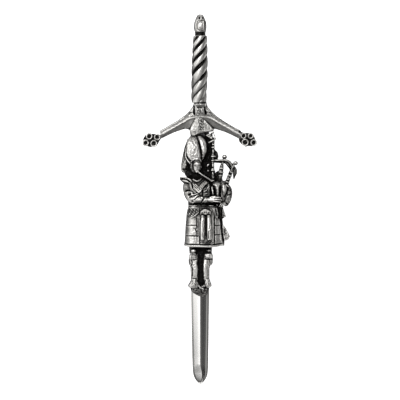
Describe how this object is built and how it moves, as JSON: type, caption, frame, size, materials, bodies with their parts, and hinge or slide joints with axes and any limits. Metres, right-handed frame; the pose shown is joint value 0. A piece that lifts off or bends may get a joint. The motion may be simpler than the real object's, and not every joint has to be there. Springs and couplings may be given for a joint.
{
  "type": "kilt pin",
  "caption": "Cast metal pin brooch shaped as a long sword with a drooping guard, a bagpiper in front of its blade and a closed pin stem on its flat back.",
  "frame": {"origin": "on the surface that the pin lies on, under the middle of its outline", "axes": "+Y up the sword from its point to its pommel, +Z from the surface to the figure's front, +X to the right of someone who looks at the front"},
  "size_m": [0.0312, 0.1, 0.0128],
  "materials": {
    "antique_pewter": "polished cast pewter with blackened recesses",
    "pin_steel": "plain bright plated steel"
  },
  "bodies": {
    "root": {"casting": "antique_pewter", "pin_back": "pin_steel"}
  },
  "joints": []
}
